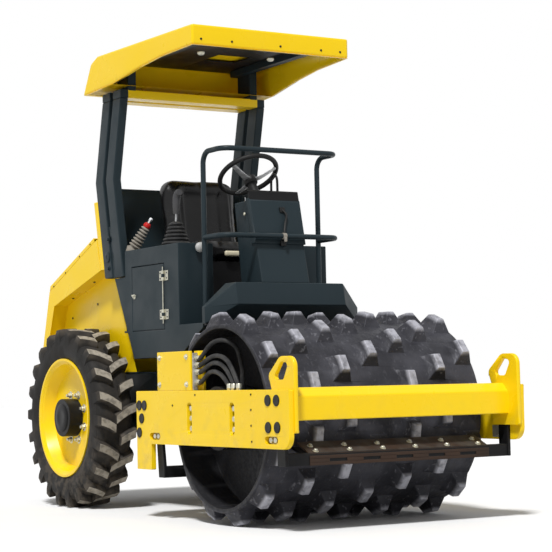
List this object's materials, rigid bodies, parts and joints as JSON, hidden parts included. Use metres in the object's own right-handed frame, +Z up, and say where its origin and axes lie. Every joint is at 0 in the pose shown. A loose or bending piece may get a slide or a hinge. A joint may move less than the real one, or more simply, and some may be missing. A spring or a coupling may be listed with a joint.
{
  "type": "single-drum padfoot road roller",
  "caption": "Articulated road roller with a padfoot drum in a plate frame, two lugged drive wheels, an open driver's platform with hand rail, and a roof on a roll-over frame.",
  "frame": {"origin": "on the ground below the middle of the machine's box", "axes": "+X forward towards the drum, +Y to the machine's left, +Z up"},
  "size_m": [3.115, 1.31, 2.48],
  "materials": {
    "yellow_paint": "gloss",
    "slate_paint": "satin",
    "black_paint": "satin",
    "drum_steel": "worn",
    "tyre_rubber": "dusty",
    "hose_rubber": "matte",
    "zinc_plate": "satin",
    "cast_metal": "as cast",
    "seat_vinyl": "grained",
    "black_plastic": "matte",
    "gaiter_plastic": "matte",
    "engine_iron": "painted"
  },
  "bodies": {
    "rear_frame": {"chassis": "slate_paint", "pivot_pin": "zinc_plate", "axle": "black_paint", "engine": "engine_iron", "hood": "yellow_paint", "bulkhead": "yellow_paint", "floor": "slate_paint", "front_box": "slate_paint", "side_box_right": "slate_paint", "side_box_left": "slate_paint", "door_hinges": "zinc_plate", "seat_box": "black_paint", "seat_cushion": "seat_vinyl", "seat_back": "seat_vinyl", "dash": "slate_paint", "steering_column": "black_plastic", "handrail": "slate_paint", "rops": "slate_paint", "roof_frame": "slate_paint", "roof": "yellow_paint", "travel_lever": "black_plastic", "brake_lever": "gaiter_plastic"},
    "front_frame": {"side_plate_right": "yellow_paint", "side_plate_left": "yellow_paint", "front_bar": "yellow_paint", "rear_beam": "yellow_paint", "drum_mounts": "black_paint", "front_scraper": "black_paint", "rear_scraper": "black_paint", "valve_block": "cast_metal", "valve_cover": "yellow_paint", "hoses": "hose_rubber"},
    "drum": {"drum": "drum_steel"},
    "wheel_right": {"tyre_right": "tyre_rubber", "rim_right": "yellow_paint", "hub_right": "black_paint"},
    "wheel_left": {"tyre_left": "tyre_rubber", "rim_left": "yellow_paint", "hub_left": "black_paint"},
    "door_right": {"door_right": "slate_paint"},
    "door_left": {"door_left": "slate_paint"},
    "hood_lid": {"hood_lid": "yellow_paint"},
    "steering_wheel": {"steering_wheel": "black_plastic"},
    "steer_barrel": {"steer_barrel": "black_paint"},
    "steer_rod": {"steer_rod": "zinc_plate"}
  },
  "joints": [
    {"name": "articulation", "type": "hinge", "parent": "rear_frame", "child": "front_frame", "pos_m": [-0.0315, 0, 0.525], "axis": [0, 0, 1], "range_deg": [-30, 30]},
    {"name": "drum_spin", "type": "hinge", "parent": "front_frame", "child": "drum", "pos_m": [0.8435, 0, 0.505], "axis": [0, 1, 0], "continuous": true},
    {"name": "wheel_right_spin", "type": "hinge", "parent": "rear_frame", "child": "wheel_right", "pos_m": [-0.9075, -0.508, 0.495], "axis": [0, 1, 0], "continuous": true},
    {"name": "wheel_left_spin", "type": "hinge", "parent": "rear_frame", "child": "wheel_left", "pos_m": [-0.9075, 0.508, 0.495], "axis": [0, 1, 0], "continuous": true},
    {"name": "steering_wheel_turn", "type": "hinge", "parent": "rear_frame", "child": "steering_wheel", "pos_m": [0.1285, 0, 1.765], "axis": [-0.5446, 0, 0.8387], "continuous": true},
    {"name": "door_right_open", "type": "hinge", "parent": "rear_frame", "child": "door_right", "pos_m": [0.0135, -0.458, 1.126], "axis": [0, 0, 1], "range_deg": [0, 110]},
    {"name": "door_left_open", "type": "hinge", "parent": "rear_frame", "child": "door_left", "pos_m": [0.0135, 0.458, 1.126], "axis": [0, 0, -1], "range_deg": [0, 110]},
    {"name": "hood_lid_open", "type": "hinge", "parent": "rear_frame", "child": "hood_lid", "pos_m": [-0.79084, 0, 1.50152], "axis": [0, 1, 0], "range_deg": [0, 60]},
    {"name": "steer_barrel_swing", "type": "hinge", "parent": "rear_frame", "child": "steer_barrel", "pos_m": [-0.4075, 0.15, 0.525], "axis": [0, 0, 1], "range_deg": [-3, 3]},
    {"name": "steer_rod_slide", "type": "slide", "parent": "steer_barrel", "child": "steer_rod", "axis": [1, 0, 0], "range_m": [-0.08, 0.08]}
  ],
  "couplings": [
    {"joint": "steer_barrel_swing", "follows": "articulation", "ratio": 0.0716},
    {"joint": "steer_rod_slide", "follows": "articulation", "m_per_rad": -0.1445}
  ]
}
